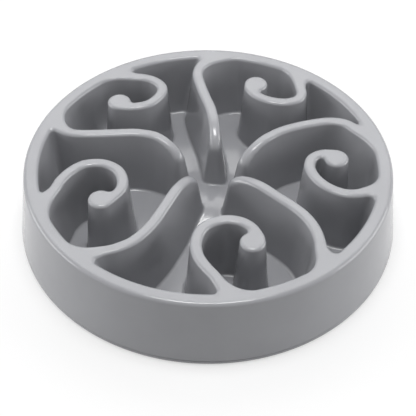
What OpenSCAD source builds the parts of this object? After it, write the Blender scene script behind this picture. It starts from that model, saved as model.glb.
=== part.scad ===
// Slow feeder bowl: a double-walled maze bowl on a snap-in base cover with non-slip pads.
// On the real object the maze top is one moulding, cored from below. Here its rim wall, floor,
// raised hub, five curls and five stems are separate solids that meet face to face.
// Origin: centre of the footprint, on the table. +Z is up. The photographed front faces -Y.

/* [Bowl] */
// Diameter of the rim at the top edge
rim_d = 250; // [230:5:300]
// Distance by which the outer wall's foot stands out beyond the rim
foot_out = 6; // [2:0.5:12]
// Height of the rim above the table
bowl_h = 52; // [42:1:70]
// Width of the rim's top, over its rounded edges
rim_w = 10; // [8:0.5:14]
// Lean of the rim's inner wall, in degrees
inner_lean = 7.5; // [3:0.5:9]
// Thickness of the moulding's walls
wall_t = 2.4; // [1.8:0.1:2.8]
// Thickness of the moulding's floor
floor_t = 1.8; // [1.4:0.1:3]
// Radius of the rounded top edges
edge_r = 2.2; // [1.2:0.1:2.8]

/* [Maze] */
// Width of a curl or stem at the top, over its rounded edges
ridge_w = 7.8; // [6.6:0.1:9]
// Thickness of the curls' and stems' walls over their cores
core_t = 2; // [1.4:0.1:2.2]
// Draft of the curls' faces, in degrees
curl_draft = 4.5; // [1:0.5:5]
// Draft of the stems' faces, in degrees
stem_draft = 7.5; // [2:0.5:8]
// Widening of a curl or stem on each side where it runs into the rim
root_flare = 5; // [1:0.5:7]
// Diameter of the knob that ends a curl
knob_d = 16.8; // [14:0.2:18]
// Length over which a stem's top rounds down to its nose
nose_len = 25; // [15:1:32]
// Drop of a stem's top at its nose
nose_drop = 13; // [8:1:22]
// Lean of a nose, in degrees
nose_lean = 9; // [4:1:15]
// Height of the raised hub above the floor
hub_rise = 10; // [4:0.5:14]
// Diameter of the raised hub
hub_d = 92; // [80:2:120]

/* [Base] */
// Height at which the base cover meets the outer wall
seam_h = 3.9; // [3.2:0.1:8]
// Thickness of the base cover
cover_t = 1.6; // [1.4:0.1:2.4]
// Free height between the base cover and the moulding's floor
cover_gap = 0.4; // [0.3:0.1:2]
// Clearance between the base cover's ring and the outer wall
fit_gap = 0.2; // [0.1:0.05:0.4]
// Height of the base cover's ring above the seam
ring_h = 7; // [5:0.5:12]
// Thickness of the base cover's ring
ring_t = 1.8; // [1.2:0.1:2.4]
// Height of the snap bead on the ring's outer face
bead_h = 0.7; // [0.5:0.1:1]
// Bevel on both edges of the seam
seam_bevel = 0.4; // [0.2:0.1:0.6]
// Number of non-slip pads
pad_n = 6; // [4:1:8]
// Diameter of a pad
pad_d = 14; // [10:1:20]
// Depth of the pocket that holds a pad
pad_seat = 0.8; // [0.5:0.1:1]
// Height by which a pad stands out of its pocket
pad_stand = 0.6; // [0.4:0.1:1.5]

/* [Hidden] */
UNITS = ["right", "back_right", "back_left", "left", "front"];

grey = [0.70, 0.71, 0.73];
dark_grey = [0.30, 0.31, 0.32];

rim_r = rim_d / 2;
foot_r = rim_r + foot_out;
hub_r = hub_d / 2;
ridge_r = ridge_w / 2;
plate_top = pad_stand + cover_t;
floor_z = plate_top + cover_gap + floor_t;
floor_under = floor_z - floor_t;
overrun = wall_t;

// Steps of a rounded edge, a stem's nose, the hub's dome and a pad's ring of places
edge_steps = 3;
nose_steps = 8;
dome_steps = 10;
// Steps between two neighbouring points of a path
path_steps = 3;
shoulder_steps = 6;

// Paths of the curls' middle lines, as shares of the rim's radius. The first point only
// gives the direction in which the curl leaves the rim. The last is the knob's centre, which
// the line passes on its left.
curl_shares = [
    [[0.90, -0.215], [0.84, -0.215], [0.79, -0.222], [0.73, -0.222], [0.665, -0.195],
        [0.605, -0.145], [0.565, -0.08], [0.55, -0.015], [0.57, 0.05], [0.63, 0.085],
        [0.70, 0.045]],
    [[0.575, 0.79], [0.545, 0.72], [0.537, 0.65], [0.54, 0.60], [0.52, 0.55],
        [0.465, 0.522], [0.405, 0.52], [0.335, 0.54], [0.275, 0.58], [0.24, 0.635],
        [0.276, 0.678]],
    [[-0.54, 0.78], [-0.45, 0.742], [-0.385, 0.73], [-0.325, 0.705], [-0.28, 0.655],
        [-0.275, 0.60], [-0.30, 0.545], [-0.345, 0.495], [-0.41, 0.47], [-0.475, 0.465],
        [-0.517, 0.505]],
    [[-0.86, -0.31], [-0.82, -0.22], [-0.79, -0.145], [-0.745, -0.075], [-0.68, -0.02],
        [-0.605, -0.005], [-0.54, -0.02], [-0.485, -0.065], [-0.46, -0.13],
        [-0.462, -0.20], [-0.495, -0.255], [-0.565, -0.285]],
    [[0.10, -0.90], [0.045, -0.82], [-0.005, -0.75], [-0.045, -0.68], [-0.06, -0.60],
        [-0.045, -0.52], [-0.01, -0.465], [0.05, -0.43], [0.11, -0.42], [0.175, -0.435],
        [0.225, -0.475], [0.255, -0.53], [0.228, -0.578]]];

// Paths of the stems' middle lines, from the rim to the nose at the hub, in the same shares
stem_shares = [
    [[0.90, 0.24], [0.84, 0.29], [0.77, 0.34], [0.69, 0.355], [0.60, 0.34], [0.50, 0.31],
        [0.40, 0.265], [0.305, 0.195], [0.24, 0.135], [0.189, 0.082]],
    [[0.03, 0.93], [-0.04, 0.87], [-0.065, 0.80], [-0.065, 0.74], [-0.045, 0.65],
        [-0.02, 0.56], [0.01, 0.46], [0.027, 0.36], [0.035, 0.28], [0.037, 0.212]],
    [[-0.88, 0.31], [-0.83, 0.265], [-0.78, 0.24], [-0.72, 0.23], [-0.62, 0.232],
        [-0.50, 0.24], [-0.40, 0.243], [-0.30, 0.22], [-0.22, 0.172], [-0.158, 0.12]],
    [[-0.62, -0.70], [-0.54, -0.655], [-0.46, -0.625], [-0.385, -0.58], [-0.325, -0.515],
        [-0.275, -0.435], [-0.235, -0.35], [-0.195, -0.26], [-0.15, -0.165],
        [-0.112, -0.092], [-0.087, -0.051]],
    [[0.63, -0.70], [0.58, -0.63], [0.568, -0.565], [0.557, -0.505], [0.535, -0.445],
        [0.50, -0.385], [0.445, -0.322], [0.375, -0.257], [0.29, -0.18], [0.20, -0.105],
        [0.135, -0.06]]];

// Share of the way to the fold that a face may use on the inside of a bend
bend_share = 0.85;
// Share of its full width that a stem keeps at its nose
nose_width_share = 0.8;
// Radius of the cores' rounded edges, from the width that a core has at a stem's nose
core_edge_r = (ridge_r * nose_width_share - core_t) / 2;
// Share of the foot's radius at which the pads sit
pad_ring_share = 0.82;
// Share of the ring's height at which the snap bead sits
bead_place_share = 0.6;

// Radius of the outer wall's face at height z
function outer_at(z) = foot_r + (rim_r - foot_r) * (z - seam_h) / (bowl_h - edge_r - seam_h);

// Radius of the inner wall's face at height z
function inner_at(z) = rim_r - rim_w + edge_r * (1 - cos(inner_lean))
    - (bowl_h - edge_r + edge_r * sin(inner_lean) - z) * tan(inner_lean);

// Outer radius of the base cover's ring at height z
function ring_at(z) = outer_at(z) - wall_t - fit_gap;

// Height of the floor's top face at radius r
function floor_at(r) = floor_z + (r < hub_r ? hub_rise * (1 + cos(180 * r / hub_r)) / 2 : 0);

// Points of an arc about c
function arc(c, r, from, to, n) =
    [for (i = [0 : n]) let (a = from + (to - from) * i / n) c + r * [cos(a), sin(a)]];

// The dome from the axis to its edge, moved by dz
function dome(dz) = [for (i = [0 : dome_steps])
    let (r = hub_r * i / dome_steps) [r, floor_at(r) + dz]];

// The inner wall's rounded top edge, from the wall to the rim's top
function inner_edge() = arc([rim_r - rim_w + edge_r, bowl_h - edge_r], edge_r,
    180 - inner_lean, 90, edge_steps);

// The outer wall's rounded top edge, from the rim's top to the wall
function outer_edge() = arc([rim_r - edge_r, bowl_h - edge_r], edge_r,
    90, atan((foot_r - rim_r) / (bowl_h - edge_r - seam_h)), edge_steps);

function unit(v) = v / norm(v);

// Catmull-Rom curve through P, with n steps between neighbouring points
function smooth(P, n) = let (
        last = len(P) - 1,
        Q = concat([2 * P[0] - P[1]], P, [2 * P[last] - P[last - 1]]))
    concat([for (i = [1 : last], k = [0 : n - 1])
        let (t = k / n, a = Q[i - 1], b = Q[i], c = Q[i + 1], d = Q[i + 2])
        (2 * b + (c - a) * t + (2 * a - 5 * b + 4 * c - d) * t * t
            + (3 * b - a - 3 * c + d) * t * t * t) / 2], [P[last]]);

// A path in millimetres that starts in the middle of the rim's top
function path(shares) = smooth(concat(
    [unit(shares[0]) * (rim_r - rim_w / 2)],
    [for (i = [1 : len(shares) - 1]) shares[i] * rim_r]), path_steps);

// Where a curl's middle line ends: beside the knob's centre K, at a tangent from point B, so
// that the curl's outer face runs round the knob
function hook_end(B, K) = let (
        v = B - K,
        apart = knob_d / 2 - ridge_r,
        a = atan2(v.y, v.x) - acos(min(1, apart / norm(v))))
    K + apart * [cos(a), sin(a)];

// Distance of each point of path C from its first point
function along(C) = [for (i = 0, s = 0; i < len(C);
    i = i + 1, s = s + (i < len(C) ? norm(C[i] - C[i - 1]) : 0)) s];

// Left-hand unit normal of path C at point i
function side(C, i) = let (
        t = unit(C[min(i + 1, len(C) - 1)] - C[max(i - 1, 0)]))
    [-t.y, t.x];

// Distance at which a face beside path C at point i would fold, on the side d
function fold(C, i, d) = let (
        bends = [for (j = [max(1, i) : min(len(C) - 1, i + 1)])
            cross(side(C, j - 1), side(C, j)) / norm(C[j] - C[j - 1])],
        bend = max(bends * (d * side(C, i))))
    bend > 0 ? 1 / bend : rim_d;

// v turned clockwise by angle a
function turned(v, a) = [v.x * cos(a) + v.y * sin(a), v.y * cos(a) - v.x * sin(a)];

// A ridge along path C with half widths W and top heights Z, down to height foot.
// Its edges are rounded by e, its faces lean by draft and its far end leans by lean.
// On the inside of a tight bend the faces stay short of the fold.
module ridge(C, W, Z, foot, e, draft, lean) {
    n = len(C);
    last = n - 1;
    end_side = side(C, last);
    rays = concat(
        [for (i = [0 : last]) [i, side(C, i), draft, fold(C, i, side(C, i))]],
        [for (k = [1 : nose_steps - 1]) let (a = 180 * k / nose_steps)
            [last, turned(end_side, a), draft + (lean - draft) * sin(a), rim_d]],
        [for (i = [last : -1 : 0]) [i, -side(C, i), draft, fold(C, i, -side(C, i))]]);
    total = len(rays);
    rows = edge_steps + 2;
    points = [for (ray = rays) let (i = ray[0], d = ray[1], tilt = ray[2])
        for (k = [0 : edge_steps + 1]) let (
            a = (90 - tilt) * min(k, edge_steps) / edge_steps,
            r = W[i] - e + e * sin(a),
            z = Z[i] - e + e * cos(a),
            drop = k > edge_steps ? z - foot : 0,
            p = C[i] + d * min(r + drop * tan(tilt), ray[3] * bend_share))
        [p.x, p.y, z - drop]];
    sides = [for (r = [0 : total - 2], k = [0 : rows - 2]) let (
            a = r * rows + k,
            b = a + rows)
        each [[a, a + 1, b + 1], [a, b + 1, b]]];
    top = [for (i = [0 : last - 1]) let (
            a = i * rows,
            b = (total - 1 - i) * rows)
        each [[a, a + rows, b - rows], [a, b - rows, b]]];
    bottom = [for (i = [0 : last - 1]) let (
            a = i * rows + rows - 1,
            b = (total - 1 - i) * rows + rows - 1)
        each [[a, b - rows, a + rows], [a, b, b - rows]]];
    end_top = [for (k = [0 : nose_steps]) (last + k) * rows];
    end_bottom = [for (k = [nose_steps : -1 : 0]) (last + k) * rows + rows - 1];
    start = concat([for (k = [rows - 1 : -1 : 0]) k],
        [for (k = [0 : rows - 1]) (total - 1) * rows + k]);
    polyhedron(points, concat(sides, top, bottom, [end_top, end_bottom, start]));
}

// Half width of a ridge at distance s from its start on the rim
function half_width(s) = ridge_r + root_flare * pow(max(0, 1 - s / (rim_w + root_flare)), 2);

// The space inside the bowl, above its floor
module room() {
    rotate_extrude($fn = 180)
        polygon(concat(dome(0),
            [[inner_at(floor_z), floor_z]],
            inner_edge(),
            [[rim_r - rim_w + edge_r, bowl_h + overrun], [0, bowl_h + overrun]]));
}

module rim_wall() {
    bead_z = seam_h + ring_h * bead_place_share;
    roof = bowl_h - wall_t;
    color(grey)
        rotate_extrude($fn = 180)
            polygon(concat(inner_edge(), outer_edge(), [
                [foot_r, seam_h + seam_bevel],
                [foot_r - seam_bevel, seam_h],
                [foot_r - wall_t, seam_h],
                [outer_at(bead_z - bead_h) - wall_t, bead_z - bead_h],
                [outer_at(bead_z) - wall_t + bead_h, bead_z],
                [outer_at(bead_z + bead_h) - wall_t, bead_z + bead_h],
                [outer_at(roof) - wall_t, roof],
                [inner_at(roof) + wall_t, roof],
                [inner_at(floor_under) + wall_t, floor_under],
                [inner_at(floor_under), floor_under]]));
}

module bowl_floor() {
    color(grey)
        difference() {
            rotate_extrude($fn = 180)
                polygon([[hub_r, floor_under], [inner_at(floor_under), floor_under],
                    [inner_at(floor_z), floor_z], [hub_r, floor_z]]);
            for (u = [0 : len(UNITS) - 1]) {
                curl_core(u);
                stem_core(u);
            }
        }
}

module hub() {
    under = dome(-floor_t);
    color(grey)
        difference() {
            rotate_extrude($fn = 180)
                polygon(concat(dome(0), [for (i = [dome_steps : -1 : 0]) under[i]]));
            for (u = [0 : len(UNITS) - 1])
                stem_core(u);
        }
}

// A curl's outer form with inset 0, or its core's form with the wall's thickness as inset
module curl_form(unit, inset, e) {
    shares = curl_shares[unit];
    last = len(shares) - 1;
    knob_at = shares[last] * rim_r;
    C = path(concat([for (i = [0 : last - 1]) shares[i]],
        [hook_end(shares[last - 1] * rim_r, knob_at) / rim_r]));
    S = along(C);
    top = bowl_h - inset;
    knob_r = knob_d / 2 - inset;
    ridge(C, [for (s = S) half_width(s) - inset], [for (s = S) top],
        0, e, curl_draft, curl_draft);
    translate(knob_at)
        rotate_extrude($fn = 60)
            polygon(concat([[0, 0], [knob_r + (top - e) * tan(curl_draft), 0]],
                arc([knob_r - e, top - e], e, curl_draft, 90, edge_steps),
                [[0, top]]));
}

// A stem's outer form with inset 0, or its core's form with the wall's thickness as inset
module stem_form(unit, inset, e) {
    P = path(stem_shares[unit]);
    reach = along(P);
    total = reach[len(P) - 1];
    X = [for (i = [0 : len(P) - 1]) [reach[i], P[i].x]];
    Y = [for (i = [0 : len(P) - 1]) [reach[i], P[i].y]];
    level = total - nose_len;
    level_steps = len(P) - 2 * path_steps;
    S = concat([for (i = [0 : level_steps - 1]) level * i / level_steps],
        [for (k = [0 : shoulder_steps]) level + nose_len * sin(90 * k / shoulder_steps)]);
    C = [for (s = S) [lookup(s, X), lookup(s, Y)]];
    Z = [for (s = S) let (u = max(0, s - level) / nose_len)
        bowl_h - inset - nose_drop * (1 - sqrt(max(0, 1 - u * u)))];
    W = [for (s = S) let (u = max(0, s - level) / nose_len)
        half_width(s) - inset - ridge_r * (1 - nose_width_share) * u];
    ridge(C, W, Z, 0, e, stem_draft, nose_lean);
}

// The space that the cores may take: they end at a wall beside the rim's inner wall
module core_room() {
    cylinder(h = bowl_h, r1 = inner_at(0) - core_t, r2 = inner_at(bowl_h) - core_t, $fn = 180);
}

module curl_core(unit) {
    intersection() {
        curl_form(unit, core_t, core_edge_r);
        core_room();
    }
}

module stem_core(unit) {
    intersection() {
        stem_form(unit, core_t, core_edge_r);
        core_room();
    }
}

module curl(unit) {
    color(grey)
        difference() {
            intersection() {
                curl_form(unit, 0, edge_r);
                room();
            }
            curl_core(unit);
        }
}

module stem(unit) {
    color(grey)
        difference() {
            intersection() {
                stem_form(unit, 0, edge_r);
                room();
            }
            stem_core(unit);
        }
}

module base_cover() {
    bead_z = seam_h + ring_h * bead_place_share;
    ring_top = seam_h + ring_h;
    color(grey)
        difference() {
            rotate_extrude($fn = 180)
                polygon([[0, pad_stand],
                    [foot_r - 2 * seam_bevel, pad_stand],
                    [foot_r, pad_stand + 2 * seam_bevel],
                    [foot_r, seam_h - seam_bevel],
                    [foot_r - seam_bevel, seam_h],
                    [ring_at(seam_h), seam_h],
                    [ring_at(bead_z - bead_h), bead_z - bead_h],
                    [ring_at(bead_z) + bead_h, bead_z],
                    [ring_at(bead_z + bead_h), bead_z + bead_h],
                    [ring_at(ring_top), ring_top],
                    [ring_at(ring_top) - ring_t, ring_top],
                    [ring_at(plate_top) - ring_t, plate_top],
                    [0, plate_top]]);
            for (i = [1 : pad_n])
                pad_place(i)
                    translate([0, 0, pad_stand - overrun])
                        cylinder(h = overrun + pad_seat, d = pad_d + 2 * fit_gap, $fn = 48);
        }
}

module pad_place(i) {
    rotate(360 * (i - 1) / pad_n)
        translate([foot_r * pad_ring_share, 0, 0])
            children();
}

module pad(i) {
    pad_h = pad_stand + pad_seat;
    bevel = pad_stand / 2;
    color(dark_grey)
        pad_place(i)
            rotate_extrude($fn = 48)
                polygon([[0, 0], [pad_d / 2 - bevel, 0], [pad_d / 2, bevel],
                    [pad_d / 2, pad_h], [0, pad_h]]);
}

rim_wall();
bowl_floor();
hub();
for (u = [0 : len(UNITS) - 1]) {
    curl(u);
    stem(u);
}
base_cover();
for (i = [1 : pad_n])
    pad(i);
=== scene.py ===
# Slow feeder bowl: a grey moulded maze on a snap-in base cover with non-slip pads.
# All lengths are in metres, in the CAD model's frame: the origin is the centre of the
# footprint on the table, +Z is up and the photographed front faces -Y.
import math

import bpy
import numpy as np
from mathutils import Euler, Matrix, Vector


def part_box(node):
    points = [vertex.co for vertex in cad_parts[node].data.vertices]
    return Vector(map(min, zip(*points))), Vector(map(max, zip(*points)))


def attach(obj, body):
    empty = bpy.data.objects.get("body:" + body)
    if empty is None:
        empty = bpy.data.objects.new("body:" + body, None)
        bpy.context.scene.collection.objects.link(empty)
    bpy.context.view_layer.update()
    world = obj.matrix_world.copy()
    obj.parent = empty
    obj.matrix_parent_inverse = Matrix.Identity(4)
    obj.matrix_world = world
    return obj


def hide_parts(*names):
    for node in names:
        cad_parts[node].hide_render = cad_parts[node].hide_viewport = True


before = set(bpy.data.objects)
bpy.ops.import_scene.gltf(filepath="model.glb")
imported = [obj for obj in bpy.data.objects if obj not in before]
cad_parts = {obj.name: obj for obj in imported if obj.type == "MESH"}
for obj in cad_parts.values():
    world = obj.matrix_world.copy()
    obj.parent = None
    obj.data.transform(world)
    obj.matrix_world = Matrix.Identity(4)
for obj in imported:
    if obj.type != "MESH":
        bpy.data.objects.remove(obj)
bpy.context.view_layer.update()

# Sizes that the frame gives. The pad pad_1 lies on the X axis, so its box's Y is its radius
FOOT_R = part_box("base_cover")[1].x
BOWL_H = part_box("rim_wall")[1].z
PAD_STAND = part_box("base_cover")[0].z
PAD_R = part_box("pad_1")[1].y
PAD_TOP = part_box("pad_1")[1].z
PAD_NODES = sorted(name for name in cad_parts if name.startswith("pad_"))

# Walls, floor and hub of the moulding
RIM_R = 0.125
RIM_W = 0.010
WALL_T = 0.0024
EDGE_R = 0.0022
INNER_LEAN = math.radians(7.5)
FLOOR_Z = 0.0044
FLOOR_T = 0.0018
HUB_R = 0.046
HUB_RISE = 0.010

# Seam between the moulding and the base cover: the height of its upper side, how wide it is open,
# and the rounding of the edges beside it
SEAM_H = 0.0039
SEAM_GAP = 0.0003
SEAM_BEVEL = 0.0004
# The outer wall is straight from the foot at the seam to its rounded top edge
OUTER_LEAN = math.atan((FOOT_R - RIM_R) / (BOWL_H - EDGE_R - SEAM_H))

# Curls and stems: half their width at the top, their draft and a curl's knob
RIDGE_R = 0.0039
CURL_DRAFT = math.radians(4.5)
STEM_DRAFT = math.radians(7.5)
KNOB_R = 0.0084

# A stem's nose. The top turns down by NOSE_DROP over NOSE_LEN into a leaning face, NOSE_CAP past the
# end of the stem's path. Over that length the stem narrows, and its top edge gets rounder by
# NOSE_ROUNDING and by a share of the draft's widening
NOSE_LEN = 0.025
NOSE_DROP = 0.013
NOSE_LEAN = math.radians(9)
NOSE_CAP = 0.0024
NOSE_NARROWING_SHARE = 0.2
NOSE_ROUNDING = 0.0012
NOSE_FOOT_ROUNDING_SHARE = 0.55
# The middle line runs on past the path's end, so that the sides stay straight at the nose. Further
# ahead of the nose's face than NOSE_AHEAD no point counts as inside the sides: its distance from
# them rises there by NOSE_STEEPNESS times its way ahead
NOSE_RUN = 0.016
NOSE_AHEAD = 0.003
NOSE_STEEPNESS = 2

# Fillets in plan where a curl or stem meets the rim: tight towards the outer channels, and wide
# on the side where the curl and the stem share a channel, within ROOT_RUN of where they start
TIGHT_FILLET = 0.0042
CURL_FILLET = 0.015
STEM_FILLET = 0.017
ROOT_RUN = 0.045
ROOT_FADE = 0.015
# Fillets inside a curl's hook and where the walls meet the floor
KNOB_FILLET = 0.0028
FOOT_FILLET = 0.0016

# Paths of the ridges' middle lines, as shares of the rim's radius, from the rim inwards
CURL_SHARES = [
    [(0.90, -0.215), (0.84, -0.215), (0.79, -0.222), (0.73, -0.222), (0.665, -0.195), (0.605, -0.145),
     (0.565, -0.08), (0.55, -0.015), (0.57, 0.05), (0.63, 0.085), (0.70, 0.045)],
    [(0.575, 0.79), (0.545, 0.72), (0.537, 0.65), (0.54, 0.60), (0.52, 0.55), (0.465, 0.522),
     (0.405, 0.52), (0.335, 0.54), (0.275, 0.58), (0.24, 0.635), (0.276, 0.678)],
    [(-0.54, 0.78), (-0.45, 0.742), (-0.385, 0.73), (-0.325, 0.705), (-0.28, 0.655), (-0.275, 0.60),
     (-0.30, 0.545), (-0.345, 0.495), (-0.41, 0.47), (-0.475, 0.465), (-0.517, 0.505)],
    [(-0.86, -0.31), (-0.82, -0.22), (-0.79, -0.145), (-0.745, -0.075), (-0.68, -0.02), (-0.605, -0.005),
     (-0.54, -0.02), (-0.485, -0.065), (-0.46, -0.13), (-0.462, -0.20), (-0.495, -0.255),
     (-0.565, -0.285)],
    [(0.10, -0.90), (0.045, -0.82), (-0.005, -0.75), (-0.045, -0.68), (-0.06, -0.60), (-0.045, -0.52),
     (-0.01, -0.465), (0.05, -0.43), (0.11, -0.42), (0.175, -0.435), (0.225, -0.475), (0.255, -0.53),
     (0.228, -0.578)],
]
STEM_SHARES = [
    [(0.90, 0.24), (0.84, 0.29), (0.77, 0.34), (0.69, 0.355), (0.60, 0.34), (0.50, 0.31),
     (0.40, 0.265), (0.305, 0.195), (0.24, 0.135), (0.189, 0.082)],
    [(0.03, 0.93), (-0.04, 0.87), (-0.065, 0.80), (-0.065, 0.74), (-0.045, 0.65), (-0.02, 0.56),
     (0.01, 0.46), (0.027, 0.36), (0.035, 0.28), (0.037, 0.212)],
    [(-0.88, 0.31), (-0.83, 0.265), (-0.78, 0.24), (-0.72, 0.23), (-0.62, 0.232), (-0.50, 0.24),
     (-0.40, 0.243), (-0.30, 0.22), (-0.22, 0.172), (-0.158, 0.12)],
    [(-0.62, -0.70), (-0.54, -0.655), (-0.46, -0.625), (-0.385, -0.58), (-0.325, -0.515),
     (-0.275, -0.435), (-0.235, -0.35), (-0.195, -0.26), (-0.15, -0.165), (-0.112, -0.092),
     (-0.087, -0.051)],
    [(0.63, -0.70), (0.58, -0.63), (0.568, -0.565), (0.557, -0.505), (0.535, -0.445), (0.50, -0.385),
     (0.445, -0.322), (0.375, -0.257), (0.29, -0.18), (0.20, -0.105), (0.135, -0.06)],
]
PATH_STEPS = 9

# Base cover: its plate, and the ring on it with a bead that snaps into the outer wall
FIT_GAP = 0.0002
COVER_T = 0.0016
COVER_EDGE = 0.0014
RING_H = 0.007
RING_T = 0.0018
BEAD_H = 0.0007
BEAD_HEIGHT_SHARE = 0.6
BEAD_Z = SEAM_H + BEAD_HEIGHT_SHARE * RING_H
POCKET_FLARE = 0.00015

# Pads: their rounded edge, and the radii, half width and depth of the grooves in their face
PAD_EDGE = 0.0003
GROOVE_RADII = (0.0022, 0.0036, 0.0050)
GROOVE_HALF_W = 0.0003
GROOVE_DEPTH = 0.00015

# The net that finds the moulding's upper surface: its even step across, the cells that it has to
# spare around the foot, and runs of levels as first height, step and number. The levels are close
# at the top edges and the floor's fillets
GRID = 0.001485
SPARE_CELLS = 3
LEVELS = [(0.0030, 0.0006, 7), (0.0072, 0.0016, 6), (0.017, 0.0055, 3), (0.0335, 0.0028, 5),
          (0.0475, 0.0006, 10)]
# The net's wall outside ends in the grid cells between these two levels
TUCK_Z = 0.0447
TUCK_TOP = 0.0475
# How its points are moved onto the surface: rounds, the step that measures slopes, and the lowest
# square of a slope that a move trusts
SETTLE_ROUNDS = 2
PROBE = 0.0001
LEAST_SLOPE = 0.5
# Rounds of evening out the angles along its open edge
EVEN_ROUNDS = 4
TINY = 1e-9

# Turned rows: heights on the outer wall and inside the inner wall, radii under the hub, and radii on
# the cover's flat faces
WALL_LEVELS = (0.037, 0.028, 0.019, 0.0115, 0.0065)
INNER_MIDDLE_Z = 0.03
HUB_ROWS = 8
HUB_LAST_R = 0.004
COVER_RADII = (0.05, 0.1)
COVER_OUTER_R = 0.12
# Steps round a corner, and sides of what is turned. Hidden rows use every fourth angle
CORNER_STEPS = 4
COVER_EDGE_STEPS = 6
PAD_EDGE_STEPS = 5
COVER_SIDES = 360
PAD_SIDES = 72
POCKET_SIDES = 96
HIDDEN_EVERY = 4
SHARP_ANGLE = math.radians(35)

# Looks. Most of a noise lies between the two levels
NOISE_LOW = 0.3
NOISE_HIGH = 0.7
PLASTIC_DARK = (0.298, 0.301, 0.318)
PLASTIC_LIGHT = (0.320, 0.324, 0.341)
RUBBER_DARK = (0.012, 0.012, 0.013)
RUBBER_LIGHT = (0.024, 0.024, 0.025)
WHITE = (1, 1, 1, 1)

# Half the floor's side, its colour as it is seen, its own glow, its colour for scattered light, and
# the world's strength for scattered light
FLOOR_HALF = 4
FLOOR_WHITE = (0.37, 0.37, 0.37)
FLOOR_LIFT = 0.56
FLOOR_BOUNCE = (0.6, 0.6, 0.6)
WORLD_LIGHT = 0.32

# Soft boxes: name, place, width and height, and power in watts
LAMPS = [
    ("lamp_top", (0, 0.05, 1.3), (0.5, 0.4), 10),
    ("lamp_back", (0, 1.9, 2.1), (2.4, 1.4), 22),
    ("lamp_left", (-1.15, 0, 0.3), (0.9, 0.5), 7),
    ("lamp_right", (1.15, 0, 0.3), (0.9, 0.5), 7),
]

# The photograph's camera: sensor and lens in millimetres, place and turns
SENSOR_W = 36
LENS = 91.67
CAMERA_PLACE = (-0.0008, -0.5232, 0.5464)
CAMERA_TILT = math.radians(44.12)
CAMERA_YAW = math.radians(-0.09)
CAMERA_ROLL = math.radians(0.597)

# The CAD nodes that are one moulding on the real bowl
MOULDING_NODES = ["rim_wall", "bowl_floor", "hub"]
for unit in ("right", "back_right", "back_left", "left", "front"):
    MOULDING_NODES += [f"curl_{unit}", f"stem_{unit}"]


def outer_at(z):
    """Radius of the outer wall's face at height z."""
    return FOOT_R + (RIM_R - FOOT_R) * (z - SEAM_H) / (BOWL_H - EDGE_R - SEAM_H)


def inner_at(z):
    """Radius of the inner wall's face at height z."""
    edge_z = BOWL_H - EDGE_R + EDGE_R * math.sin(INNER_LEAN)
    return RIM_R - RIM_W + EDGE_R * (1 - math.cos(INNER_LEAN)) - (edge_z - z) * math.tan(INNER_LEAN)


def floor_at(r):
    """Height of the floor's top face at radius r."""
    return FLOOR_Z + HUB_RISE * (1 + np.cos(np.pi * np.minimum(r, HUB_R) / HUB_R)) / 2


def wall_back_at(z):
    """Radius of the outer wall's hidden face at height z."""
    return outer_at(z) - WALL_T


def ring_at(z):
    """Outer radius of the base cover's ring at height z."""
    return wall_back_at(z) - FIT_GAP


def smooth_path(shares):
    """A Catmull-Rom curve through the shares, from the middle of the rim's top."""
    knots = np.array(shares) * RIM_R
    knots[0] *= (RIM_R - RIM_W / 2) / np.hypot(*knots[0])
    knots = np.vstack([2 * knots[0] - knots[1], knots, 2 * knots[-1] - knots[-2]])
    curve = []
    for a, b, c, d in zip(knots, knots[1:], knots[2:], knots[3:]):
        for t in np.arange(PATH_STEPS) / PATH_STEPS:
            bend = (2 * a - 5 * b + 4 * c - d) * t**2 + (3 * b - a - 3 * c + d) * t**3
            curve.append((2 * b + (c - a) * t + bend) / 2)
    return np.array(curve + [knots[-2]])


def lengths_along(line):
    """Distance along the line from its start to each of its points."""
    return np.concatenate([[0], np.cumsum(np.hypot(*np.diff(line, axis=0).T))])


class Ridge:
    """A curl or a stem: its middle line in plan, the distances along it and the area around it."""

    def __init__(self, line):
        self.line = line
        self.along = lengths_along(line)
        margin = KNOB_R + BOWL_H * math.tan(NOSE_LEAN)
        self.low = line.min(0) - margin
        self.high = line.max(0) + margin

    def around(self, xy):
        """Indexes of the points that are in the area around the ridge."""
        return np.where(((xy > self.low) & (xy < self.high)).all(1))[0]

    def nearest(self, xy):
        """Each point's distance from the middle line, the place of its nearest point along the line,
        and whether it lies to the left of the line."""
        away = np.full(len(xy), np.inf)
        along = np.zeros(len(xy))
        left = np.zeros(len(xy), dtype=bool)
        for a, b, start, stop in zip(self.line, self.line[1:], self.along, self.along[1:]):
            way = b - a
            t = np.clip(((xy - a) @ way) / (way @ way), 0, 1)
            distance = np.hypot(xy[:, 0] - a[0] - t * way[0], xy[:, 1] - a[1] - t * way[1])
            closer = distance < away
            away[closer] = distance[closer]
            along[closer] = (start + (stop - start) * t)[closer]
            left[closer] = (way[0] * (xy[:, 1] - a[1]) > way[1] * (xy[:, 0] - a[0]))[closer]
        return away, along, left

    def fillet(self, xy, widest, shared):
        """Each point's fillet with the rim, given which points face the shared channel."""
        root = np.clip((ROOT_RUN - np.hypot(*(xy - self.line[0]).T)) / ROOT_FADE, 0, 1)
        return TIGHT_FILLET + (widest - TIGHT_FILLET) * root * shared


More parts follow.
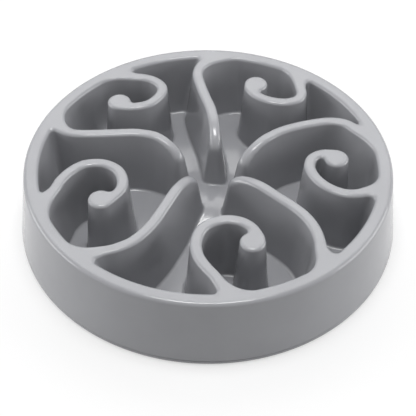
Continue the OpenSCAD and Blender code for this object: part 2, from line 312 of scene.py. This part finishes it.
class Curl(Ridge):
    """A hook that ends in a round knob."""

    draft = CURL_DRAFT

    def __init__(self, shares):
        # The line ends beside the knob's middle, so that the outer side runs round the knob
        self.knob = np.array(shares[-1]) * RIM_R
        before = np.array(shares[-2]) * RIM_R - self.knob
        angle = math.atan2(before[1], before[0]) - math.acos((KNOB_R - RIDGE_R) / np.hypot(*before))
        outward = np.array([math.cos(angle), math.sin(angle)])
        self.way = np.array([outward[1], -outward[0]])
        end = (self.knob + outward * (KNOB_R - RIDGE_R)) / RIM_R
        super().__init__(smooth_path(shares[:-1] + [end]))

    def in_plan(self, xy):
        """For each point: its distance from the sides at the top, its fillet with the rim, and a pair
        of its distance from the knob and its fillet inside the hook."""
        away, _, left = self.nearest(xy)
        knob = np.hypot(*(xy - self.knob).T) - KNOB_R
        behind = (self.knob - xy) @ self.way
        hook = KNOB_FILLET * np.clip(behind / KNOB_R, 0, 1)
        return away - RIDGE_R, self.fillet(xy, CURL_FILLET, ~left), (knob, hook)


class Stem(Ridge):
    """A ridge that narrows towards its end and turns down there into a nose."""

    draft = STEM_DRAFT

    def __init__(self, shares):
        path = smooth_path(shares)
        self.nose = lengths_along(path)[-1] + NOSE_CAP - NOSE_LEN
        way = path[-1] - path[-2]
        super().__init__(np.vstack([path, path[-1] + way / np.hypot(*way) * NOSE_RUN]))

    def in_plan(self, xy):
        """For each point: its distance from the sides at the top, its fillet with the rim, and how far
        it lies past the place where the top starts to turn down."""
        away, along, left = self.nearest(xy)
        past = along - self.nose
        side = away - RIDGE_R + RIDGE_R * NOSE_NARROWING_SHARE * np.clip(past / NOSE_LEN, 0, 1)
        return side, self.fillet(xy, STEM_FILLET, left), past


RIDGES = [Curl(shares) for shares in CURL_SHARES] + [Stem(shares) for shares in STEM_SHARES]


def round_union(a, b, fillet):
    """The lower of two distances, with a fillet between them."""
    corner = np.hypot(np.maximum(fillet - a, 0), np.maximum(fillet - b, 0))
    return np.maximum(fillet, np.minimum(a, b)) - corner


def round_cut(a, b, edge):
    """The higher of two distances, with a rounded edge between them."""
    corner = np.hypot(np.maximum(a + edge, 0), np.maximum(b + edge, 0))
    return np.minimum(-edge, np.maximum(a, b)) + corner


def shoulder(past, z):
    """Distance from a stem's top, which turns down past 0 into its leaning nose, and from the nose's
    face alone. The turn is a quarter of an ellipse: a circle in a space that is squeezed lengthwise."""
    squeeze = NOSE_DROP / NOSE_LEN
    ahead = past - NOSE_LEN + (z - BOWL_H + NOSE_DROP) * math.tan(NOSE_LEAN)
    up = np.maximum(z - BOWL_H + NOSE_DROP, 0)
    out = np.maximum(ahead * squeeze + NOSE_DROP, 0)
    reach = np.maximum(np.hypot(up, out), TINY)
    turned = np.minimum(-NOSE_DROP, np.maximum(z - BOWL_H, ahead * squeeze)) + reach
    return turned * reach / np.maximum(np.hypot(up, out * squeeze), TINY), ahead * math.cos(NOSE_LEAN)


class Plan:
    """What the moulding's upper surface needs to know of each point (x, y), whatever its height."""

    def __init__(self, xy):
        self.r = np.hypot(xy[:, 0], xy[:, 1])
        self.floor = floor_at(self.r)
        # Each ridge with the indexes of the points around it, and what it says of them
        self.rows = []
        for ridge in RIDGES:
            at = ridge.around(xy)
            if len(at):
                self.rows.append((ridge, at, *ridge.in_plan(xy[at])))

    def field(self, z):
        """Distance of the points at height z from the upper surface, negative inside the plastic."""
        z = np.broadcast_to(z, self.r.shape)
        side = (inner_at(z) - self.r) * math.cos(INNER_LEAN)
        top = z - BOWL_H
        edge = np.full(len(z), EDGE_R)
        for ridge, at, flat, fillet, end in self.rows:
            below = np.maximum(BOWL_H - EDGE_R - z[at], 0) * math.tan(ridge.draft)
            own = (flat - below) * math.cos(ridge.draft)
            if isinstance(ridge, Stem):
                over, face = shoulder(end, z[at])
                own = np.maximum(own, NOSE_STEEPNESS * (face - NOSE_AHEAD))
                nearest = own < side[at]
                top[at[nearest]] = over[nearest]
                rounder = NOSE_ROUNDING + NOSE_FOOT_ROUNDING_SHARE * below
                edge[at[nearest]] = (EDGE_R + rounder * np.clip(end / NOSE_LEN, 0, 1))[nearest]
            else:
                knob, hook = end
                own = round_union(own, (knob - below) * math.cos(ridge.draft), hook)
            side[at] = round_union(side[at], own, fillet)
        body = round_union(round_cut(side, top, edge), z - self.floor, FOOT_FILLET)
        return round_cut(body, (self.r - outer_at(z)) * math.cos(OUTER_LEAN), EDGE_R)


def field_and_slope(points):
    """The field at the points, and how it changes along each axis."""
    plan = Plan(points[:, :2])
    value = plan.field(points[:, 2])
    slope = np.zeros_like(points)
    for axis in (0, 1):
        for sign in (-1, 1):
            moved = points[:, :2].copy()
            moved[:, axis] += sign * PROBE
            slope[:, axis] += sign * Plan(moved).field(points[:, 2])
    slope[:, 2] = plan.field(points[:, 2] + PROBE) - plan.field(points[:, 2] - PROBE)
    return value, slope / (2 * PROBE)


def neighbours(axis, others):
    """Two index tuples into a grid, the second one step further along the axis. The other axes are
    cut by the given slice."""
    near, far = [others] * 3, [others] * 3
    near[axis], far[axis] = slice(None, -1), slice(1, None)
    return tuple(near), tuple(far)


def net_points(grid, values):
    """One point in each grid cell that the surface runs through, in the middle of where it crosses the
    cell's edges, and the cells' point numbers."""
    inside = values < 0
    cells = tuple(n - 1 for n in values.shape)
    total = np.zeros(cells + (3,))
    count = np.zeros(cells)
    for axis in range(3):
        near, far = neighbours(axis, slice(None))
        crossing = inside[near] != inside[far]
        drop = np.where(crossing, values[near] - values[far], 1)
        t = np.where(crossing, values[near] / drop, 0)[..., None]
        point = (grid[near] + (grid[far] - grid[near]) * t) * crossing[..., None]
        u, v = [a for a in range(3) if a != axis]
        for i in (0, 1):
            for j in (0, 1):
                part = [slice(None)] * 3
                part[u], part[v] = slice(i, i + cells[u]), slice(j, j + cells[v])
                total += point[tuple(part)]
                count += crossing[tuple(part)]
    used = count > 0
    number = np.full(cells, -1)
    number[used] = np.arange(used.sum())
    return total[used] / count[used][:, None], number


def net_faces(inside, number):
    """Four-sided faces, each between the points of the four cells around a grid edge that the surface
    crosses."""
    faces = []
    for axis, u, v in ((0, 1, 2), (1, 2, 0), (2, 0, 1)):
        near, far = neighbours(axis, slice(1, -1))
        first = np.array([0 if k == axis else 1 for k in range(3)])
        for here, there, step in ((near, far, 1), (far, near, -1)):
            at = np.argwhere(inside[here] & ~inside[there]) + first
            quad = []
            for du, dv in ((-1, -1), (0, -1), (0, 0), (-1, 0)):
                cell = at.copy()
                cell[:, u] += du
                cell[:, v] += dv
                quad.append(number[tuple(cell.T)])
            faces.append(np.stack(quad, 1)[:, ::step])
    return np.vstack(faces)


def settle(points):
    """Moves the points onto the surface where the field is 0, and gives their normals."""
    for _ in range(SETTLE_ROUNDS):
        value, slope = field_and_slope(points)
        move = -value[:, None] * slope / np.maximum((slope * slope).sum(1), LEAST_SLOPE)[:, None]
        points = points + np.clip(move, -GRID / 2, GRID / 2)
    slope = field_and_slope(points)[1]
    return points, slope / np.maximum(np.linalg.norm(slope, axis=1), TINY)[:, None]


def upper_skin():
    """The moulding's upper surface, down to TUCK_Z on its outside: points, normals and faces."""
    zs = np.concatenate([z + step * np.arange(n) for z, step, n in LEVELS])
    steps = math.ceil(FOOT_R / GRID) + SPARE_CELLS
    xs = np.arange(-steps, steps + 1) * GRID
    plan = Plan(np.stack(np.meshgrid(xs, xs, indexing="ij"), -1).reshape(-1, 2))
    values = np.stack([plan.field(z).reshape(len(xs), len(xs)) for z in zs], -1)
    points, number = net_points(np.stack(np.meshgrid(xs, xs, zs, indexing="ij"), -1), values)
    faces = net_faces(values < 0, number)
    # Low on the outside the faces are left out, and so are the vertices that no face uses then
    z = points[:, 2]
    outside = np.hypot(points[:, 0], points[:, 1]) > (inner_at(z) + outer_at(z)) / 2
    low = (outside & (z < TUCK_Z))[faces].any(1)
    last = (outside & (z < TUCK_TOP))[faces].all(1)
    faces = faces[~low & ~last]
    used = np.unique(faces)
    new = np.full(len(points), -1)
    new[used] = np.arange(len(used))
    points, normals = settle(points[used])
    return points, normals, new[faces]


def open_loop(faces):
    """The vertices along the net's open edge, in the order in which its faces run."""
    a = faces.ravel()
    b = np.roll(faces, -1, axis=1).ravel()
    edges = set(zip(a.tolist(), b.tolist()))
    following = {p: q for p, q in edges if (q, p) not in edges}
    loop = [next(iter(following))]
    while following[loop[-1]] != loop[0]:
        loop.append(following[loop[-1]])
    return np.array(loop)


def level_loop(points, normals, loop):
    """Brings the loop's vertices to one height on the outer wall with evened-out angles. Gives the
    angles, and whether they go down along the loop."""
    angles = np.unwrap(np.arctan2(points[loop, 1], points[loop, 0]))
    turn = np.sign(angles[-1] - angles[0]) * 2 * np.pi
    for _ in range(EVEN_ROUNDS):
        after = np.append(angles[1:], angles[0] + turn)
        before = np.append(angles[-1] - turn, angles[:-1])
        angles = (after + before) / 2
    z = np.full(len(loop), (TUCK_Z + TUCK_TOP) / 2)
    x, y = np.cos(angles), np.sin(angles)
    level = math.cos(OUTER_LEAN)
    points[loop] = np.stack([outer_at(z) * x, outer_at(z) * y, z], 1)
    normals[loop] = np.stack([x * level, y * level, np.full(len(loop), math.sin(OUTER_LEAN))], 1)
    return angles.tolist(), turn < 0


def round_corner(r, z, radius, start, stop, steps=CORNER_STEPS):
    """Points of a rounded corner with its middle at (r, z), from one angle to the other in degrees."""
    angles = np.radians(np.linspace(start, stop, steps + 1))
    return [(r + radius * math.cos(a), z + radius * math.sin(a)) for a in angles]


def bead_rows(face_at, top):
    """Rows (r, z) up a face, over the snap bead or into its groove, to the given height."""
    rows = ((BEAD_Z - BEAD_H, 0), (BEAD_Z, BEAD_H), (BEAD_Z + BEAD_H, 0), (top, 0))
    return [(face_at(z) + out, z) for z, out in rows]


def moulding_profile():
    """Rows (r, z) from below the net's open edge, down the outer wall and along the hidden underside,
    and how many of them can be seen."""
    rows = [(outer_at(z), z) for z in WALL_LEVELS]
    rows += round_corner(FOOT_R - SEAM_BEVEL, SEAM_H + SEAM_BEVEL, SEAM_BEVEL, 0, -90)
    seen = len(rows)
    rows.append((FOOT_R - WALL_T, SEAM_H))
    rows += bead_rows(wall_back_at, BOWL_H - WALL_T)
    rows += [(inner_at(z) + WALL_T, z) for z in (BOWL_H - WALL_T, INNER_MIDDLE_Z, FLOOR_Z - FLOOR_T)]
    radii = np.linspace(HUB_R, HUB_LAST_R, HUB_ROWS)
    rows += [(r, float(floor_at(r)) - FLOOR_T) for r in (*radii, 0)]
    return rows, seen


def cover_profile():
    """Rows (r, z) of the base cover: out along its underside, up its edge to the seam, in, up and over
    the ring, and in along the plate's top."""
    ring_top = SEAM_H + RING_H
    plate_top = PAD_STAND + COVER_T
    rows = [(r, PAD_STAND) for r in (0, *COVER_RADII, COVER_OUTER_R)]
    rows += round_corner(FOOT_R - COVER_EDGE, PAD_STAND + COVER_EDGE, COVER_EDGE, -90, 0, COVER_EDGE_STEPS)
    rows += round_corner(FOOT_R - SEAM_BEVEL, SEAM_H - SEAM_GAP - SEAM_BEVEL, SEAM_BEVEL, 0, 90)
    rows.append((ring_at(SEAM_H), SEAM_H - SEAM_GAP))
    rows += bead_rows(ring_at, ring_top)
    rows += [(ring_at(z) - RING_T, z) for z in (ring_top, plate_top)]
    rows += [(r, plate_top) for r in (*reversed(COVER_RADII), 0)]
    return rows


def pad_profile(radius, top):
    """Rows (r, z) of a pad: out along its grooved face, round its edge and in along its top."""
    rows = [(0, 0)]
    for r in GROOVE_RADII:
        rows += [(r - GROOVE_HALF_W, 0), (r, GROOVE_DEPTH), (r + GROOVE_HALF_W, 0)]
    rows += round_corner(radius - PAD_EDGE, PAD_EDGE, PAD_EDGE, -90, 0, PAD_EDGE_STEPS)
    return rows + [(radius, top), (0, top)]


def strip(upper, lower):
    """Faces between two closed rings of vertices, of which neighbours may be the same vertex."""
    faces = []
    for i in range(len(upper)):
        j = (i + 1) % len(upper)
        face = list(dict.fromkeys([upper[i], lower[i], lower[j], upper[j]]))
        if len(face) > 2:
            faces.append(face)
    return faces


def lathe(rows, angles, first=0, seen=None):
    """Points and faces of rows (r, z) turned about the axis, and the vertices of each row. A row of
    radius 0 is one point. Where it is given how many rows can be seen, the rest use fewer angles."""
    points, faces, rings = [], [], []
    for k, (r, z) in enumerate(rows):
        every = 1 if seen is None or k < seen else HIDDEN_EVERY
        if r == 0:
            every = len(angles)
        start = first + len(points)
        points += [(r * math.cos(a), r * math.sin(a), z) for a in angles[::every]]
        rings.append([start + i // every for i in range(len(angles))])
    for upper, lower in zip(rings, rings[1:]):
        faces += strip(upper, lower)
    return points, faces, rings


def turned(rows, sides, middle=Vector((0, 0, 0)), first=0):
    """Points and faces of a closed shape: rows from the underside's middle to the top's, turned about
    an upright line through the given middle."""
    angles = np.linspace(0, 2 * np.pi, sides, endpoint=False).tolist()
    points, faces, _ = lathe(rows, angles, first)
    return [(x + middle.x, y + middle.y, z) for x, y, z in points], [face[::-1] for face in faces]


def make_object(name, points, faces, normals=None):
    """A smooth object in the scene, with sharp edges where its faces meet at more than SHARP_ANGLE."""
    mesh = bpy.data.meshes.new(name)
    mesh.from_pydata(points, [], faces)
    mesh.validate()
    mesh.polygons.foreach_set("use_smooth", np.ones(len(mesh.polygons), dtype=bool))
    mesh.set_sharp_from_angle(angle=SHARP_ANGLE)
    if normals is not None:
        mesh.normals_split_custom_set_from_vertices(normals)
    obj = bpy.data.objects.new(name, mesh)
    bpy.context.collection.objects.link(obj)
    return obj


def make_moulding():
    """The moulding: the net's upper surface joined to turned walls and a turned underside."""
    points, normals, faces = upper_skin()
    loop = open_loop(faces)
    angles, downwards = level_loop(points, normals, loop)
    rows, seen = moulding_profile()
    more, lathed, rings = lathe(rows, angles, len(points), seen)
    lathed = strip(loop.tolist(), rings[0]) + lathed
    if downwards:
        lathed = [face[::-1] for face in lathed]
    points = np.vstack([points, more])
    # A normal of 0 leaves a vertex the normal that its faces give it
    normals = np.vstack([normals, np.zeros((len(more), 3))])
    return make_object("maze_moulding", points.tolist(), faces.tolist() + lathed, normals.tolist())


def pad_middle(node):
    """The middle of a pad's box."""
    low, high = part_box(node)
    return (low + high) / 2


def cut_pockets(cover):
    """Cuts the pads' pockets, with a small flare at each mouth, out of the cover."""
    radius = PAD_R + FIT_GAP
    flare = PAD_STAND + POCKET_FLARE
    rows = [(0, 0), (radius + flare, 0), (radius, flare), (radius, PAD_TOP), (0, PAD_TOP)]
    points, faces = [], []
    for node in PAD_NODES:
        more_points, more_faces = turned(rows, POCKET_SIDES, pad_middle(node), len(points))
        points += more_points
        faces += more_faces
    cutter = make_object("pockets", points, faces)
    cut = cover.modifiers.new("pockets", "BOOLEAN")
    cut.solver = "EXACT"
    cut.object = cutter
    made = cover.evaluated_get(bpy.context.evaluated_depsgraph_get())
    mesh = bpy.data.meshes.new_from_object(made)
    cover.modifiers.clear()
    cover.data = mesh
    mesh.set_sharp_from_angle(angle=SHARP_ANGLE)
    bpy.data.objects.remove(cutter)


def make_cover():
    """The base cover with its pockets."""
    cover = make_object("base_cover_plate", *turned(cover_profile(), COVER_SIDES))
    cut_pockets(cover)
    return cover


def make_pad(node):
    """A turned rubber pad with a rounded edge and three shallow grooves in its face."""
    low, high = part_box(node)
    rows = pad_profile((high.x - low.x) / 2, high.z)
    return make_object(f"{node}_rubber", *turned(rows, PAD_SIDES, pad_middle(node)))


def node_tree(name):
    """A new material and its empty node tree."""
    material = bpy.data.materials.new(name)
    material.use_nodes = True
    tree = material.node_tree
    tree.nodes.clear()
    return material, tree


def add(tree, kind, inputs=None, **settings):
    """A new shader node. Inputs are numbers and colours, or output sockets to link."""
    made = tree.nodes.new(kind)
    for name, value in settings.items():
        setattr(made, name, value)
    for name, value in (inputs or {}).items():
        if isinstance(value, bpy.types.NodeSocket):
            tree.links.new(value, made.inputs[name])
        else:
            made.inputs[name].default_value = value
    return made


def noise(tree, place, scale, detail):
    """Soft noise at the given place."""
    inputs = {"Vector": place, "Scale": scale, "Detail": detail}
    return add(tree, "ShaderNodeTexNoise", inputs).outputs["Fac"]


def stretch(tree, value, low, high, to_low=0, to_high=1):
    """The value with the range from low to high mapped to another, and held at its ends outside."""
    inputs = {"Value": value, "From Min": low, "From Max": high, "To Min": to_low, "To Max": to_high}
    return add(tree, "ShaderNodeMapRange", inputs).outputs["Result"]


def blend(tree, amount, first, second):
    """A colour from the first to the second, by amount."""
    inputs = {"Factor": amount, "A": (*first, 1), "B": (*second, 1)}
    return add(tree, "ShaderNodeMix", inputs, data_type="RGBA").outputs["Result"]


def bump(tree, height, strength, distance, under=None):
    """The normal that follows the height, on top of the normal under it if there is one."""
    inputs = {"Height": height, "Strength": strength, "Distance": distance}
    if under is not None:
        inputs["Normal"] = under
    return add(tree, "ShaderNodeBump", inputs).outputs["Normal"]


def finish_surface(tree, colour, roughness, normal, ior):
    """The material's shader and output."""
    inputs = {"Base Color": colour, "Roughness": roughness, "Normal": normal, "IOR": ior}
    shader = add(tree, "ShaderNodeBsdfPrincipled", inputs)
    add(tree, "ShaderNodeOutputMaterial", {"Surface": shader.outputs["BSDF"]})


def plastic():
    """Satin grey moulding: a fine spark-eroded grain, soft flow mottling and slight gloss changes."""
    material, tree = node_tree("satin_grey_plastic")
    place = add(tree, "ShaderNodeTexCoord").outputs["Object"]
    grain = noise(tree, place, scale=1800, detail=3)
    ripple = noise(tree, place, scale=160, detail=2)
    mottle = noise(tree, place, scale=28, detail=5)
    colour = blend(tree, stretch(tree, mottle, NOISE_LOW, NOISE_HIGH), PLASTIC_DARK, PLASTIC_LIGHT)
    roughness = stretch(tree, ripple, NOISE_LOW, NOISE_HIGH, to_low=0.15, to_high=0.19)
    fine = bump(tree, grain, strength=0.3, distance=0.00001)
    normal = bump(tree, ripple, strength=0.2, distance=0.0001, under=fine)
    finish_surface(tree, colour, roughness, normal, ior=1.49)
    return material


def rubber():
    """Dark rubber of the pads: dull, with a fine dusty speckle."""
    material, tree = node_tree("dark_rubber")
    place = add(tree, "ShaderNodeTexCoord").outputs["Object"]
    speckle = noise(tree, place, scale=2600, detail=4)
    dust = noise(tree, place, scale=240, detail=3)
    colour = blend(tree, stretch(tree, dust, low=0.35, high=0.7), RUBBER_DARK, RUBBER_LIGHT)
    roughness = stretch(tree, speckle, low=0, high=1, to_low=0.62, to_high=0.82)
    normal = bump(tree, speckle, strength=0.5, distance=0.00006)
    finish_surface(tree, colour, roughness, normal, ior=1.52)
    return material


def seen_directly(tree):
    """1 for rays from the camera, or by way of a mirror or glass, and 0 for scattered light."""
    path = add(tree, "ShaderNodeLightPath").outputs
    inputs = {0: path["Is Camera Ray"], 1: path["Is Glossy Ray"]}
    either = add(tree, "ShaderNodeMath", inputs, operation="ADD").outputs["Value"]
    inputs = {0: either, 1: path["Is Transmission Ray"]}
    return add(tree, "ShaderNodeMath", inputs, operation="ADD", use_clamp=True).outputs["Value"]


def paper():
    """The floor: seen as near white paper with the bowl's shadow, but throwing less light back."""
    material, tree = node_tree("floor_paper")
    seen = seen_directly(tree)
    colour = blend(tree, seen, FLOOR_BOUNCE, FLOOR_WHITE)
    lift = stretch(tree, seen, low=0, high=1, to_high=FLOOR_LIFT)
    sheet = add(tree, "ShaderNodeBsdfDiffuse", {"Color": colour}).outputs["BSDF"]
    glow = add(tree, "ShaderNodeEmission", {"Color": WHITE, "Strength": lift}).outputs["Emission"]
    both = add(tree, "ShaderNodeAddShader", {0: sheet, 1: glow}).outputs["Shader"]
    add(tree, "ShaderNodeOutputMaterial", {"Surface": both})
    return material


def make_world():
    """White surroundings, dimmer for scattered light."""
    world = bpy.data.worlds.new("studio")
    bpy.context.scene.world = world
    world.use_nodes = True
    tree = world.node_tree
    tree.nodes.clear()
    strength = stretch(tree, seen_directly(tree), low=0, high=1, to_low=WORLD_LIGHT)
    shade = add(tree, "ShaderNodeBackground", {"Color": WHITE, "Strength": strength})
    add(tree, "ShaderNodeOutputWorld", {"Surface": shade.outputs["Background"]})


def make_floor():
    """A wide level floor."""
    corners = [(x * FLOOR_HALF, y * FLOOR_HALF, 0) for x, y in ((-1, -1), (1, -1), (1, 1), (-1, 1))]
    plane = make_object("floor", corners, [(0, 1, 2, 3)])
    plane.data.materials.append(paper())
    return plane


def make_lamp(name, place, size, power):
    """A soft box that faces the bowl."""
    light = bpy.data.lights.new(name, "AREA")
    light.shape = "RECTANGLE"
    light.size, light.size_y = size
    light.energy = power
    lamp = bpy.data.objects.new(name, light)
    lamp.location = place
    to_bowl = Vector((0, 0, BOWL_H / 2)) - Vector(place)
    lamp.rotation_euler = to_bowl.to_track_quat("-Z", "Y").to_euler()
    lamp.visible_camera = False
    bpy.context.collection.objects.link(lamp)


def make_camera():
    """The photograph's camera."""
    data = bpy.data.cameras.new("camera")
    data.sensor_width = SENSOR_W
    data.lens = LENS
    camera = bpy.data.objects.new("camera", data)
    aim = Euler((CAMERA_TILT, 0, CAMERA_YAW)).to_matrix() @ Euler((0, 0, CAMERA_ROLL)).to_matrix()
    camera.rotation_euler = aim.to_euler()
    camera.location = CAMERA_PLACE
    bpy.context.collection.objects.link(camera)
    bpy.context.scene.camera = camera


grey = plastic()
black = rubber()

moulding = make_moulding()
moulding.data.materials.append(grey)
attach(moulding, "root")
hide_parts(*MOULDING_NODES)

cover = make_cover()
cover.data.materials.append(grey)
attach(cover, "root")
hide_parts("base_cover")

for node in PAD_NODES:
    pad = make_pad(node)
    pad.data.materials.append(black)
    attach(pad, "root")
    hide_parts(node)

plane = make_floor()

make_world()
for lamp in LAMPS:
    make_lamp(*lamp)
make_camera()
bpy.context.scene.view_settings.view_transform = "Standard"
